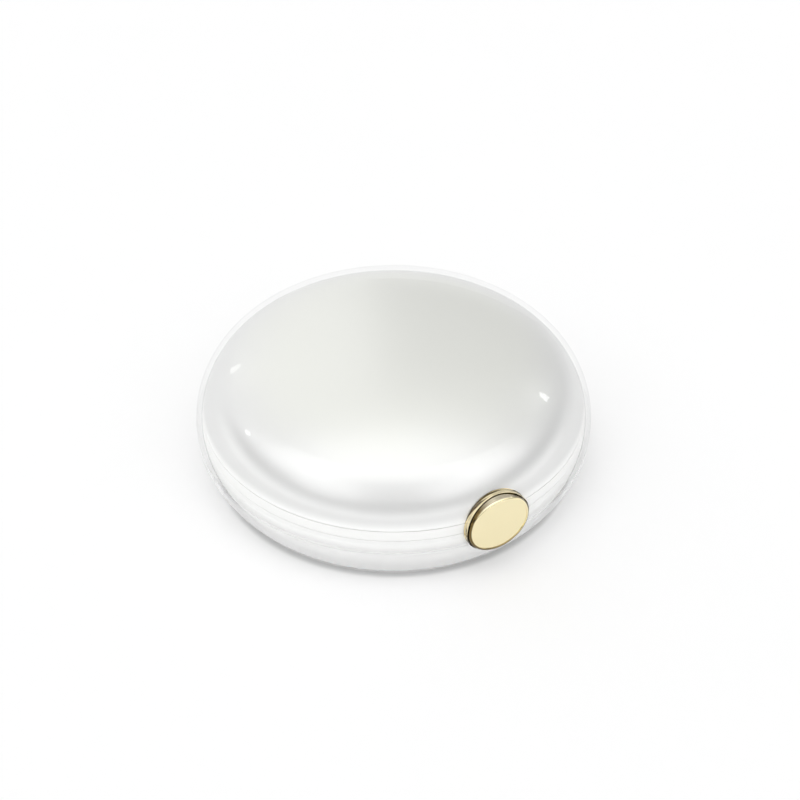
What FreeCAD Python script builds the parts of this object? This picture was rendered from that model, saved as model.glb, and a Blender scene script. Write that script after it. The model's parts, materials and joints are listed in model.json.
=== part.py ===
# Round pearl compact with a clear outer skin, a hinged mirror lid, a push clasp and a cushion refill.
# Frame in mm: Z up, origin on the floor at the centre of the foot, clasp at -Y, hinge at +Y.
import math
import os

import FreeCAD
import Part
import Sketcher
from FreeCAD import Vector

doc = FreeCAD.newDocument("compact")

SIZES = [
    # outside form
    ("outer_radius", 40.0),
    ("parting_height", 11.5),
    ("dome_rise", 22.4),
    ("shoulder_radius", 15.5),
    ("bowl_radius", 15.3),
    ("seam_gap", 0.1),
    ("seam_chamfer", 0.12),
    # skins, from the outside inwards
    ("clear_wall", 1.1),
    ("clear_floor", 1.4),
    ("skin_gap", 0.1),
    ("inner_wall", 1.2),
    ("bowl_floor", 1.2),
    ("pearl_rise", 2.3),
    ("skirt_gap", 0.15),
    ("foot_width", 4.8),
    ("foot_recess", 0.4),
    # hinge at the back
    ("hinge_inset", 1.8),
    ("barrel_radius", 2.0),
    ("hinge_pin_radius", 0.9),
    ("pin_play", 0.05),
    ("knuckle_half", 6.0),
    ("knuckle_side_gap", 0.2),
    ("hinge_half", 11.8),
    ("hinge_side_play", 0.5),
    ("barrel_play", 0.35),
    ("lid_notch_rise", 2.45),
    ("base_notch_drop", 3.4),
    ("over_cut", 1.0),
    ("bridge_gap", 0.3),
    ("arm_root", 3.4),
    ("lid_arm_root", 3.2),
    # deck and well
    ("deck_gap", 0.19),
    ("deck_drop", 0.4),
    ("deck_thickness", 1.3),
    ("lip_step", 1.8),
    ("lip_wall", 0.9),
    ("lip_rise", 1.0),
    ("deck_width", 7.7),
    ("well_wall", 1.0),
    ("well_chamfer", 0.3),
    # refill
    ("refill_gap", 0.3),
    ("refill_wall", 1.0),
    ("refill_floor", 0.9),
    ("flange_lap", 1.3),
    ("flange_thickness", 0.6),
    ("cushion_gap", 0.2),
    ("ring_width", 1.6),
    ("ring_thickness", 0.8),
    ("ring_sink", 0.1),
    ("cushion_round", 1.2),
    # inner lid
    ("inner_lid_inset", 0.1),
    ("inner_lid_plate", 1.0),
    ("seal_thickness", 0.4),
    ("seal_width", 0.75),
    ("dish_rise", 1.1),
    ("dish_wall", 1.1),
    ("inner_axis_outset", 0.1),
    ("inner_axis_rise", 1.2),
    ("inner_barrel_radius", 1.0),
    ("stub_radius", 0.6),
    ("stub_play", 0.06),
    ("inner_arm_half", 4.3),
    ("ear_gap", 0.2),
    ("ear_width", 1.6),
    ("ear_radius", 1.25),
    ("tab_half", 5.0),
    ("tab_reach", 2.4),
    ("tab_round", 1.5),
    ("tab_root", 1.0),
    # puff
    ("puff_gap", 0.9),
    ("puff_thickness", 2.6),
    ("puff_round", 1.0),
    ("cover_thickness", 0.6),
    ("cover_round", 0.4),
    ("strap_half", 6.5),
    ("strap_inset", 2.2),
    ("strap_thickness", 0.4),
    # mirror and liner
    ("mirror_lap", 0.4),
    ("mirror_thickness", 1.3),
    ("mirror_clear", 0.7),
    ("mirror_play", 0.2),
    ("tape_inset", 4.0),
    ("tape_thickness", 0.4),
    ("liner_plate", 1.1),
    ("liner_wall", 1.1),
    ("lip_clear", 0.9),
    ("liner_slope", 1.0),
    ("liner_bend_rise", 0.95),
    ("bezel_drop", 0.7),
    ("hook_root_rise", 2.7),
    # clasp
    ("badge_half_width", 6.75),
    ("badge_half_height", 6.15),
    ("badge_rise", 0.45),
    ("badge_proud", 0.1),
    ("badge_thickness", 3.4),
    ("badge_round", 0.55),
    ("badge_rim", 0.6),
    ("badge_recess", 0.12),
    ("badge_gap", 0.2),
    ("press_travel", 1.0),
    ("slide_play", 0.1),
    ("stop_play", 0.2),
    ("slider_thickness", 1.4),
    ("slider_half", 5.2),
    ("front_bar", 0.9),
    ("catch_bar", 1.1),
    ("window_half", 4.2),
    ("tenon_half", 2.4),
    ("tenon_height", 1.0),
    ("tenon_reach", 1.6),
    ("hook_half", 3.8),
    ("hook_thickness", 1.1),
    ("hook_nose", 0.9),
    ("hook_nose_height", 1.2),
    ("catch_overlap", 0.7),
    ("rail_width", 1.2),
    ("rail_lip", 1.0),
    ("rail_lip_height", 1.3),
    ("rail_run", 5.0),
    ("slot_play", 0.4),
    ("lip_gap_margin", 1.0),
    ("spring_half", 4.2),
    ("spring_strip", 0.2),
    ("spring_height", 1.0),
]


class Size:
    """A length that carries both its expression for the sheet and its present value."""

    def __init__(self, text, value):
        self.text = text
        self.value = value

    def join(self, sign, other, value):
        return Size(f"({self.text} {sign} {as_size(other).text})", value)

    def __add__(self, other):
        return self.join("+", other, self.value + as_size(other).value)

    def __sub__(self, other):
        return self.join("-", other, self.value - as_size(other).value)

    def __mul__(self, other):
        return self.join("*", other, self.value * as_size(other).value)

    def __truediv__(self, other):
        return self.join("/", other, self.value / as_size(other).value)

    def __neg__(self):
        return Size(f"(0 - {self.text})", -self.value)


def as_size(number):
    return number if isinstance(number, Size) else Size(repr(float(number)), float(number))


sheet = doc.addObject("Spreadsheet::Sheet", "Sizes")
named = {}
for row, (alias, value) in enumerate(SIZES, start=1):
    sheet.set(f"A{row}", alias)
    sheet.set(f"B{row}", str(value))
    sheet.setAlias(f"B{row}", alias)
    named[alias] = Size(f"Sizes.{alias}", value)
doc.recompute()


def size(alias):
    return named[alias]


def root(inside):
    return Size(f"sqrt({inside.text})", math.sqrt(inside.value))


class Ellipse:
    """An ellipse about the sketch's upright axis."""

    def __init__(self, across, up, centre):
        self.across = as_size(across)
        self.up = as_size(up)
        self.centre = as_size(centre)


class Arc:
    """A circle's arc in a turned profile. A loose one takes its radius from where it starts."""

    def __init__(self, x, y, radius, loose=False):
        self.x = as_size(x)
        self.y = as_size(y)
        self.radius = radius
        self.loose = loose

    def reach(self, level):
        rise = as_size(level) - self.y
        return self.x + root(self.radius * self.radius - rise * rise)


class Dome:
    """The lid's profile, a shoulder and a crown arc that meet in line, set in by a depth."""

    def __init__(self, depth):
        small = size("shoulder_radius")
        rise = size("dome_rise")
        out = size("outer_radius") - small
        crown = (out * out + rise * rise - small * small) / ((rise - small) * 2)
        drop = crown - rise
        low = size("parting_height") - drop
        self.shoulder = Arc(out, size("parting_height"), small - depth)
        self.crown = Arc(0, low, crown - depth, loose=True)
        reach = self.crown.radius / (crown - small)
        self.joint = (out * reach, low + drop * reach)
        self.top = (0, low + self.crown.radius)

    def reach(self, level):
        return self.shoulder.reach(level)


def bind(sketch, kind, first, second, length):
    name = f"d{sketch.ConstraintCount}"
    index = sketch.addConstraint(Sketcher.Constraint(kind, *first, *second, length.value))
    sketch.renameConstraint(index, name)
    sketch.setExpression(f"Constraints.{name}", length.text)


ORIGIN = (-1, 1)
LEVEL = -1
UPRIGHT = -2


def sketch_on(body, role, label, offset=None):
    sketch = body.newObject("Sketcher::SketchObject", label)
    plane = next(f for f in body.Origin.OriginFeatures if f.Role == role)
    sketch.AttachmentSupport = (plane, [""])
    sketch.MapMode = "FlatFace"
    if offset is not None:
        sketch.AttachmentOffset = FreeCAD.Placement(Vector(0, 0, offset.value), FreeCAD.Rotation())
        sketch.setExpression(".AttachmentOffset.Base.z", offset.text)
    return sketch


def ellipse_arc(sketch, ellipse, start, end):
    """Adds an arc of the ellipse and returns its index and which end is the start."""
    centre = Vector(0, ellipse.centre.value, 0)
    turns = []
    for x, y in (start, end):
        up = (y.value - ellipse.centre.value) / ellipse.up.value
        turns.append(math.atan2(up, x.value / ellipse.across.value))
    first, last = turns
    forward = last > first
    whole = Part.Ellipse(centre, ellipse.across.value, ellipse.up.value)
    arc = sketch.addGeometry(Part.ArcOfEllipse(whole, min(turns), max(turns)))
    half = Vector(ellipse.across.value, 0, 0)
    rise = Vector(0, ellipse.up.value, 0)
    major = sketch.addGeometry(Part.LineSegment(centre - half, centre + half), True)
    minor = sketch.addGeometry(Part.LineSegment(centre - rise, centre + rise), True)
    for kind, line in (("Major", major), ("Minor", minor)):
        name = f"InternalAlignment:Ellipse{kind}Diameter"
        sketch.addConstraint(Sketcher.Constraint(name, line, arc))
    sketch.addConstraint(Sketcher.Constraint("PointOnObject", arc, 3, UPRIGHT))
    sketch.addConstraint(Sketcher.Constraint("Horizontal", major))
    bind(sketch, "DistanceY", ORIGIN, (arc, 3), ellipse.centre)
    bind(sketch, "DistanceX", ORIGIN, (major, 2), ellipse.across)
    bind(sketch, "DistanceY", (arc, 3), (minor, 2), ellipse.up)
    return arc, forward


def circle_arc(sketch, arc, start, end):
    """Adds an arc of a circle and tells whether it runs from start to end."""
    centre = Vector(arc.x.value, arc.y.value, 0)
    turns = [math.atan2(y.value - centre.y, x.value - centre.x) for x, y in (start, end)]
    whole = Part.Circle(centre, Vector(0, 0, 1), arc.radius.value)
    made = sketch.addGeometry(Part.ArcOfCircle(whole, min(turns), max(turns)))
    if arc.x.text == "0.0":
        sketch.addConstraint(Sketcher.Constraint("PointOnObject", made, 3, UPRIGHT))
    else:
        bind(sketch, "DistanceX", ORIGIN, (made, 3), arc.x)
    bind(sketch, "DistanceY", ORIGIN, (made, 3), arc.y)
    if not arc.loose:
        bind(sketch, "Radius", (made,), (), arc.radius)
    return made, turns[1] > turns[0]


def outline(sketch, corners, curves=None):
    """A closed outline. An edge in curves follows that curve, and its ends slide on it."""
    curves = curves or {}
    points = [(as_size(x), as_size(y)) for x, y in corners]
    count = len(points)
    edges = []
    for i, start in enumerate(points):
        end = points[(i + 1) % count]
        if i in curves:
            draw = ellipse_arc if isinstance(curves[i], Ellipse) else circle_arc
            arc, forward = draw(sketch, curves[i], start, end)
            edges.append((arc, 1 if forward else 2, 2 if forward else 1))
        else:
            line = Part.LineSegment(
                Vector(start[0].value, start[1].value, 0), Vector(end[0].value, end[1].value, 0)
            )
            edges.append((sketch.addGeometry(line), 1, 2))
    for i, (edge, _, last) in enumerate(edges):
        following, first, _ = edges[(i + 1) % count]
        sketch.addConstraint(Sketcher.Constraint("Coincident", edge, last, following, first))
    for i, (x, y) in enumerate(points):
        edge, first, _ = edges[i]
        on_curve = i in curves or (i - 1) % count in curves
        on_axis = x.text == "0.0"
        if on_axis:
            sketch.addConstraint(Sketcher.Constraint("PointOnObject", edge, first, UPRIGHT))
        elif not on_curve:
            bind(sketch, "DistanceX", ORIGIN, (edge, first), x)
        if y.text == "0.0":
            sketch.addConstraint(Sketcher.Constraint("PointOnObject", edge, first, LEVEL))
        elif not (on_curve and on_axis):
            bind(sketch, "DistanceY", ORIGIN, (edge, first), y)


def rectangle(sketch, left, right, low, high):
    outline(sketch, [(left, low), (right, low), (right, high), (left, high)])


def disc(sketch, x, y, radius):
    x, y, radius = as_size(x), as_size(y), as_size(radius)
    circle = sketch.addGeometry(Part.Circle(Vector(x.value, y.value, 0), Vector(0, 0, 1), radius.value))
    if x.text == "0.0":
        sketch.addConstraint(Sketcher.Constraint("PointOnObject", circle, 3, UPRIGHT))
    else:
        bind(sketch, "DistanceX", ORIGIN, (circle, 3), x)
    bind(sketch, "DistanceY", ORIGIN, (circle, 3), y)
    bind(sketch, "Radius", (circle,), (), radius)


def oval(sketch, across, up, level):
    """A whole ellipse, drawn as its two side halves."""
    ellipse = Ellipse(across, up, level)
    top = (as_size(0), ellipse.centre + ellipse.up)
    low = (as_size(0), ellipse.centre - ellipse.up)
    right, _ = ellipse_arc(sketch, ellipse, low, top)
    centre = Vector(0, ellipse.centre.value, 0)
    whole = Part.Ellipse(centre, ellipse.across.value, ellipse.up.value)
    left = sketch.addGeometry(Part.ArcOfEllipse(whole, math.pi / 2, 3 * math.pi / 2))
    half = Vector(ellipse.across.value, 0, 0)
    rise = Vector(0, ellipse.up.value, 0)
    major = sketch.addGeometry(Part.LineSegment(centre - half, centre + half), True)
    minor = sketch.addGeometry(Part.LineSegment(centre - rise, centre + rise), True)
    for kind, line in (("Major", major), ("Minor", minor)):
        name = f"InternalAlignment:Ellipse{kind}Diameter"
        sketch.addConstraint(Sketcher.Constraint(name, line, left))
    sketch.addConstraint(Sketcher.Constraint("Coincident", left, 3, right, 3))
    sketch.addConstraint(Sketcher.Constraint("Horizontal", major))
    bind(sketch, "DistanceX", ORIGIN, (major, 2), ellipse.across)
    bind(sketch, "DistanceY", (left, 3), (minor, 2), ellipse.up)
    sketch.addConstraint(Sketcher.Constraint("Coincident", right, 2, left, 1))
    sketch.addConstraint(Sketcher.Constraint("Coincident", left, 2, right, 1))
    sketch.addConstraint(Sketcher.Constraint("PointOnObject", right, 2, UPRIGHT))
    sketch.addConstraint(Sketcher.Constraint("PointOnObject", right, 1, UPRIGHT))


class Piece:
    """One sub-part: a body whose features are added in order."""

    def __init__(self, name):
        self.name = name
        self.body = doc.addObject("PartDesign::Body", name)
        self.body.Label = name
        self.count = 0

    def sketch(self, role, offset=None):
        self.count += 1
        return sketch_on(self.body, role, f"{self.name}_sketch{self.count}", offset)

    def feature(self, kind, label, sketch):
        made = self.body.newObject(f"PartDesign::{kind}", f"{self.name}_{label}")
        made.Profile = sketch
        self.body.Tip = made
        return made

    def turn(self, corners, curves=None, label="turn"):
        sketch = self.sketch("XZ_Plane")
        outline(sketch, corners, curves)
        turned = self.feature("Revolution", label, sketch)
        turned.ReferenceAxis = (sketch, ["V_Axis"])
        turned.Angle = 360
        return turned

    def grow(self, sketch, length, label, reversed=False, both=False):
        pad = self.feature("Pad", label, sketch)
        return self.run(pad, length, reversed, both)

    def cut(self, sketch, length, label, reversed=False, both=False):
        pocket = self.feature("Pocket", label, sketch)
        return self.run(pocket, length, reversed, both)

    def run(self, made, length, reversed, both):
        if length is None:
            made.Type = "ThroughAll"
        else:
            length = as_size(length)
            made.Length = length.value
            made.setExpression("Length", length.text)
        made.Reversed = reversed
        if both:
            made.SideType = "Symmetric"
        return made

    def mirror(self, features, label):
        made = self.body.newObject("PartDesign::Mirrored", f"{self.name}_{label}")
        made.Originals = features
        plane = next(f for f in self.body.Origin.OriginFeatures if f.Role == "YZ_Plane")
        made.MirrorPlane = (plane, [""])
        self.body.Tip = made
        return made

    def fillet(self, feature, pick, radius, label):
        doc.recompute()
        edges = [f"Edge{i}" for i, e in enumerate(feature.Shape.Edges, start=1) if pick(e)]
        made = self.body.newObject("PartDesign::Fillet", f"{self.name}_{label}")
        made.Base = (feature, edges)
        made.Radius = radius.value
        made.setExpression("Radius", radius.text)
        self.body.Tip = made
        return made


def turned_disc(name, radius, low, high):
    piece = Piece(name)
    piece.turn([(0, low), (radius, low), (radius, high), (0, high)])
    return piece


def rim_at(radius, *levels):
    """Picks the round edges of that radius at the given levels."""

    def pick(edge):
        box = edge.BoundBox
        on_level = any(abs(box.ZMin - z.value) + abs(box.ZMax - z.value) < 0.01 for z in levels)
        return on_level and abs(getattr(edge.Curve, "Radius", 0) - radius.value) < 0.01

    return pick


# levels and radii that several pieces share
parting = size("parting_height")
lid_edge = parting + size("seam_gap") / 2
base_edge = parting - size("seam_gap") / 2
outer = size("outer_radius")
clear_depth = size("clear_wall")
inner_depth = clear_depth + size("skin_gap")
hollow_depth = inner_depth + size("inner_wall")
dome_out = Dome(as_size(0))
dome_in = Dome(clear_depth)
pearl_out = Dome(inner_depth)
pearl_in = Dome(hollow_depth)
bowl_x = outer - size("bowl_radius")
bowl_out = Arc(bowl_x, parting, size("bowl_radius"))
bowl_in = Arc(bowl_x, parting, size("bowl_radius") - clear_depth)
cup_out = Arc(bowl_x, parting, size("bowl_radius") - inner_depth)
cup_in = Arc(bowl_x, parting, size("bowl_radius") - hollow_depth)
chamfer = size("seam_chamfer")
cup_low = size("clear_floor") + size("skin_gap")
cup_floor = cup_low + size("bowl_floor")
deck_top = parting - size("deck_drop")
deck_low = deck_top - size("deck_thickness")
deck_radius = cup_in.reach(deck_low) - size("deck_gap")
lip_outer = deck_radius - size("lip_step")
lip_inner = lip_outer - size("lip_wall")
well_radius = deck_radius - size("deck_width")
well_outer = well_radius + size("well_wall")
refill_radius = well_radius - size("refill_gap")
flange_radius = well_radius + size("flange_lap")
hinge_y = outer - size("hinge_inset")
inner_axis_y = flange_radius + size("inner_axis_outset")
notch_half = size("hinge_half") + size("hinge_side_play")
badge_level = parting + size("badge_rise")
badge_face = outer + size("badge_proud")
badge_back = badge_face - size("badge_thickness")
pocket_depth = badge_back - size("press_travel") - size("stop_play")


def hinge_notch(piece, low, high):
    """Opens the back rim for the hinge between two levels."""
    sketch = piece.sketch("XZ_Plane", -(hinge_y - size("barrel_radius") * 2))
    rectangle(sketch, -notch_half, notch_half, low, high)
    piece.cut(sketch, None, "hinge_notch")


def badge_notch(piece):
    """Opens the front rim for the clasp's badge, all round it."""
    sketch = piece.sketch("XZ_Plane", pocket_depth)
    gap = size("badge_gap")
    oval(sketch, size("badge_half_width") + gap, size("badge_half_height") + gap, badge_level)
    piece.cut(sketch, None, "badge_notch", reversed=True)


# clear outer skin of the base, standing on a foot ring
base_shell = Piece("base_shell")
foot_recess = size("foot_recess")
foot_inner = bowl_out.reach(0) - size("foot_width")
base_shell.turn(
    [
        (0, foot_recess),
        (foot_inner, foot_recess),
        (foot_inner + foot_recess, 0),
        (bowl_out.reach(0), 0),
        (bowl_out.reach(base_edge - chamfer), base_edge - chamfer),
        (outer - chamfer, base_edge),
        (bowl_in.reach(base_edge), base_edge),
        (bowl_in.reach(size("clear_floor")), size("clear_floor")),
        (0, size("clear_floor")),
    ],
    {3: bowl_out, 6: bowl_in},
)
hinge_notch(base_shell, parting - size("base_notch_drop"), parting + size("over_cut"))
badge_notch(base_shell)

# pearl white bowl inside the clear base
base_bowl = Piece("base_bowl")
base_bowl.turn(
    [
        (0, cup_low),
        (cup_out.reach(cup_low), cup_low),
        (cup_out.reach(base_edge), base_edge),
        (cup_in.reach(base_edge), base_edge),
        (cup_in.reach(cup_floor), cup_floor),
        (0, cup_floor),
    ],
    {1: cup_out, 3: cup_in},
)
hinge_notch(base_bowl, parting - size("base_notch_drop"), parting + size("over_cut"))
badge_notch(base_bowl)

# slider levels, needed by the deck that guides it
slider_top = deck_low - size("slide_play")
slider_low = slider_top - size("slider_thickness")
window_front = badge_back - size("front_bar")
hook_front = window_front - size("press_travel") - size("stop_play")
hook_back = hook_front - size("hook_thickness")
nose_tip = hook_back - size("hook_nose")
catch_edge = nose_tip + size("catch_overlap")
slider_back = catch_edge - size("catch_bar")

# deck: the white top ring of the base, with the refill's well, the clasp's rails and a hinge knuckle
base_deck = Piece("base_deck")
lip_top = deck_top + size("lip_rise")
base_deck.turn(
    [
        (well_radius, cup_floor),
        (well_outer, cup_floor),
        (well_outer, deck_low),
        (deck_radius, deck_low),
        (deck_radius, deck_top),
        (lip_outer, deck_top),
        (lip_outer, lip_top),
        (lip_inner, lip_top),
        (lip_inner, deck_top),
        (well_radius + size("well_chamfer"), deck_top),
        (well_radius, deck_top - size("well_chamfer")),
    ]
)
rail_inner = size("slider_half") + size("slide_play") * 2
rail_low = slider_low - size("slide_play") - size("rail_lip_height")
rail_sketch = base_deck.sketch("XZ_Plane", well_outer - size("well_wall") / 2)
outline(
    rail_sketch,
    [
        (rail_inner - size("rail_lip"), rail_low),
        (rail_inner + size("rail_width"), rail_low),
        (rail_inner + size("rail_width"), deck_low + size("deck_thickness") / 2),
        (rail_inner, deck_low + size("deck_thickness") / 2),
        (rail_inner, slider_low - size("slide_play")),
        (rail_inner - size("rail_lip"), slider_low - size("slide_play")),
    ],
)
rail = base_deck.grow(rail_sketch, size("rail_run"), "rail")
base_deck.mirror([rail], "rails")
slot_sketch = base_deck.sketch("XY_Plane", deck_low - size("slide_play") / 2)
slot_half = size("hook_half") + size("slot_play")
rectangle(
    slot_sketch, -slot_half, slot_half, -(hook_front + size("slot_play")), -(nose_tip - size("slot_play"))
)
base_deck.cut(slot_sketch, None, "hook_slot", reversed=True)
lip_gap_sketch = base_deck.sketch("XY_Plane", deck_top)
margin = size("lip_gap_margin")
lip_gap = size("badge_half_width") + margin
rectangle(lip_gap_sketch, -lip_gap, lip_gap, -(lip_outer + margin), -(lip_inner - margin * 2))
base_deck.cut(lip_gap_sketch, None, "lip_gap", reversed=True)
badge_notch(base_deck)
swing = size("barrel_radius") + size("barrel_play")
swing_sketch = base_deck.sketch("YZ_Plane")
disc(swing_sketch, hinge_y, parting, swing)
base_deck.cut(swing_sketch, notch_half * 2, "knuckle_room", both=True)
bridge_sketch = base_deck.sketch("YZ_Plane")
rectangle(
    bridge_sketch,
    hinge_y - size("barrel_radius") * 2,
    hinge_y - swing - size("bridge_gap"),
    parting - size("base_notch_drop"),
    deck_low + size("deck_thickness") / 2,
)
base_deck.grow(bridge_sketch, size("hinge_half") * 2, "hinge_bridge", both=True)
arm_sketch = base_deck.sketch("YZ_Plane")
rectangle(
    arm_sketch,
    hinge_y - size("arm_root"),
    hinge_y,
    parting - size("barrel_radius"),
    parting - size("deck_drop"),
)
base_deck.grow(arm_sketch, size("knuckle_half") * 2, "hinge_arm", both=True)
knuckle_sketch = base_deck.sketch("YZ_Plane")
disc(knuckle_sketch, hinge_y, parting, size("barrel_radius"))
base_deck.grow(knuckle_sketch, size("knuckle_half") * 2, "knuckle", both=True)
bore_sketch = base_deck.sketch("YZ_Plane")
disc(bore_sketch, hinge_y, parting, size("hinge_pin_radius"))
base_deck.cut(bore_sketch, size("knuckle_half") * 4, "pin_bore", both=True)

# steel pin, tight in the base's knuckle and running in the lid's
hinge_pin = Piece("hinge_pin")
pin_sketch = hinge_pin.sketch("YZ_Plane")
disc(pin_sketch, hinge_y, parting, size("hinge_pin_radius"))
hinge_pin.grow(pin_sketch, size("hinge_half") * 2, "pin", both=True)

# refill: case with ears for its lid, foam cushion and the ring that holds it
case_low = cup_floor
case_floor = case_low + size("refill_floor")
flange_top = deck_top + size("flange_thickness")
case_inner = refill_radius - size("refill_wall")
refill_case = Piece("refill_case")
refill_case.turn(
    [
        (0, case_low),
        (refill_radius, case_low),
        (refill_radius, deck_top),
        (flange_radius, deck_top),
        (flange_radius, flange_top),
        (case_inner, flange_top),
        (case_inner, case_floor),
        (0, case_floor),
    ]
)
inner_axis = flange_top + size("inner_axis_rise")
ear_start = size("inner_arm_half") + size("ear_gap")
ear_sketch = refill_case.sketch("YZ_Plane", ear_start)
rectangle(
    ear_sketch,
    inner_axis_y - size("ear_radius"),
    inner_axis_y + size("ear_radius"),
    deck_top,
    inner_axis,
)
ear_leg = refill_case.grow(ear_sketch, size("ear_width"), "ear_leg")
ear_top_sketch = refill_case.sketch("YZ_Plane", ear_start)
disc(ear_top_sketch, inner_axis_y, inner_axis, size("ear_radius"))
ear_top = refill_case.grow(ear_top_sketch, size("ear_width"), "ear_top")
refill_case.mirror([ear_leg, ear_top], "ears")
ear_bore = refill_case.sketch("YZ_Plane")
disc(ear_bore, inner_axis_y, inner_axis, size("stub_radius") + size("stub_play"))
refill_case.cut(ear_bore, (ear_start + size("ear_width") + size("over_cut")) * 2, "ear_bores", both=True)

ring_top = flange_top - size("ring_sink")
ring_low = ring_top - size("ring_thickness")
cushion_ring = Piece("cushion_ring")
cushion_ring.turn(
    [
        (case_inner - size("ring_width"), ring_low),
        (case_inner, ring_low),
        (case_inner, ring_top),
        (case_inner - size("ring_width"), ring_top),
    ]
)

cushion_radius = case_inner - size("cushion_gap")
cushion = turned_disc("cushion_foam", cushion_radius, case_floor, ring_low)
cushion.fillet(cushion.body.Tip, rim_at(cushion_radius, ring_low), size("cushion_round"), "edge")

# lid of the refill, dished to hold the puff
seal_top = flange_top + size("seal_thickness")
plate_top = seal_top + size("inner_lid_plate")
inner_lid = Piece("inner_lid")
lid_radius = refill_radius - size("inner_lid_inset")
inner_lid.turn(
    [
        (0, seal_top),
        (lid_radius, seal_top),
        (lid_radius, plate_top + size("dish_rise")),
        (lid_radius - size("dish_wall"), plate_top + size("dish_rise")),
        (lid_radius - size("dish_wall") - size("dish_rise") / 4, plate_top),
        (0, plate_top),
    ]
)
tab_sketch = inner_lid.sketch("XY_Plane", seal_top)
tab_half = size("tab_half")
rectangle(tab_sketch, -tab_half, tab_half, -(lid_radius + size("tab_reach")), -(lid_radius - size("tab_root")))
tab = inner_lid.grow(tab_sketch, size("inner_lid_plate"), "tab")
tab_tip = -(lid_radius + size("tab_reach")).value


def on_tab_corner(edge):
    box = edge.BoundBox
    upright = box.ZMax - box.ZMin > size("inner_lid_plate").value / 2
    return upright and abs(box.YMin - tab_tip) + abs(box.YMax - tab_tip) < 0.01


inner_lid.fillet(tab, on_tab_corner, size("tab_round"), "tab_corners")
inner_arm_sketch = inner_lid.sketch("YZ_Plane")
rectangle(
    inner_arm_sketch,
    lid_radius - size("dish_wall"),
    inner_axis_y,
    seal_top,
    inner_axis + size("inner_barrel_radius") / 2,
)
inner_lid.grow(inner_arm_sketch, size("inner_arm_half") * 2, "arm", both=True)
inner_barrel_sketch = inner_lid.sketch("YZ_Plane")
disc(inner_barrel_sketch, inner_axis_y, inner_axis, size("inner_barrel_radius"))
inner_lid.grow(inner_barrel_sketch, size("inner_arm_half") * 2, "barrel", both=True)
stub_sketch = inner_lid.sketch("YZ_Plane")
disc(stub_sketch, inner_axis_y, inner_axis, size("stub_radius"))
inner_lid.grow(stub_sketch, (ear_start + size("ear_width")) * 2, "stubs", both=True)

seal_ring = Piece("seal_ring")
seal_ring.turn(
    [
        (lid_radius - size("seal_width"), flange_top),
        (lid_radius, flange_top),
        (lid_radius, seal_top),
        (lid_radius - size("seal_width"), seal_top),
    ]
)

# puff lying in the dish, its strap towards the mirror
puff_top = plate_top + size("puff_thickness")
cover_top = puff_top + size("cover_thickness")
strap_top = cover_top + size("strap_thickness")
puff_radius = lid_radius - size("dish_wall") - size("puff_gap")


puff_foam = turned_disc("puff_foam", puff_radius, plate_top, puff_top)
puff_foam.fillet(puff_foam.body.Tip, rim_at(puff_radius, plate_top, puff_top), size("puff_round"), "edges")
puff_cover = turned_disc("puff_cover", puff_radius, puff_top, cover_top)
puff_cover.fillet(puff_cover.body.Tip, rim_at(puff_radius, cover_top), size("cover_round"), "edge")
puff_strap = Piece("puff_strap")
strap_sketch = puff_strap.sketch("XY_Plane", cover_top)
strap_reach = puff_radius - size("strap_inset")
rectangle(strap_sketch, -strap_reach, strap_reach, -size("strap_half"), size("strap_half"))
puff_strap.grow(strap_sketch, size("strap_thickness"), "strap")

# clear outer skin of the lid
lid_shell = Piece("lid_shell")
lid_shell.turn(
    [
        (outer - chamfer, lid_edge),
        (dome_out.reach(lid_edge + chamfer), lid_edge + chamfer),
        dome_out.joint,
        dome_out.top,
        dome_in.top,
        dome_in.joint,
        (dome_in.reach(lid_edge), lid_edge),
    ],
    {1: dome_out.shoulder, 2: dome_out.crown, 4: dome_in.crown, 5: dome_in.shoulder},
)
hinge_notch(lid_shell, parting - size("over_cut"), parting + size("lid_notch_rise"))
badge_notch(lid_shell)

# pearl dome inside it, ending above the clear skirt
lid_dome = Piece("lid_dome")
pearl_low = parting + size("pearl_rise")
lid_dome.turn(
    [
        (pearl_out.reach(pearl_low), pearl_low),
        pearl_out.joint,
        pearl_out.top,
        pearl_in.top,
        pearl_in.joint,
        (pearl_in.reach(pearl_low), pearl_low),
    ],
    {0: pearl_out.shoulder, 1: pearl_out.crown, 3: pearl_in.crown, 4: pearl_in.shoulder},
)
hinge_notch(lid_dome, parting - size("over_cut"), parting + size("lid_notch_rise"))
badge_notch(lid_dome)

# liner: the white inside of the lid, with the mirror's seat, the hook and two hinge knuckles
mirror_radius = well_radius + size("mirror_lap")
mirror_low = strap_top + size("mirror_clear")
mirror_top = mirror_low + size("mirror_thickness")
tape_top = mirror_top + size("tape_thickness")
liner_top = tape_top + size("liner_plate")
seat_radius = mirror_radius + size("mirror_play")
bezel_low = mirror_low - size("bezel_drop")
skirt_top = pearl_low - size("skirt_gap")
bend_level = parting + size("liner_bend_rise")
wall = size("liner_wall")
liner_foot = lip_outer + size("lip_clear")
liner_bend = liner_foot - size("liner_slope")
lid_liner = Piece("lid_liner")
lid_liner.turn(
    [
        (liner_foot, lid_edge),
        (pearl_out.reach(lid_edge), lid_edge),
        (pearl_out.reach(skirt_top), skirt_top),
        (pearl_in.reach(skirt_top), skirt_top),
        (pearl_in.reach(bend_level + wall) - wall / 2, bend_level + wall),
        (seat_radius + wall, bezel_low + wall),
        (seat_radius + wall, liner_top),
        (0, liner_top),
        (0, tape_top),
        (seat_radius, tape_top),
        (seat_radius, bezel_low),
        (seat_radius + wall / 2, bezel_low - wall / 4),
        (liner_bend, bend_level),
    ],
    {1: pearl_out.shoulder},
)
hook_root = parting + size("hook_root_rise")
nose_top = slider_low - size("slide_play") * 2
nose_low = nose_top - size("hook_nose_height")
hook_sketch = lid_liner.sketch("YZ_Plane")
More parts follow.
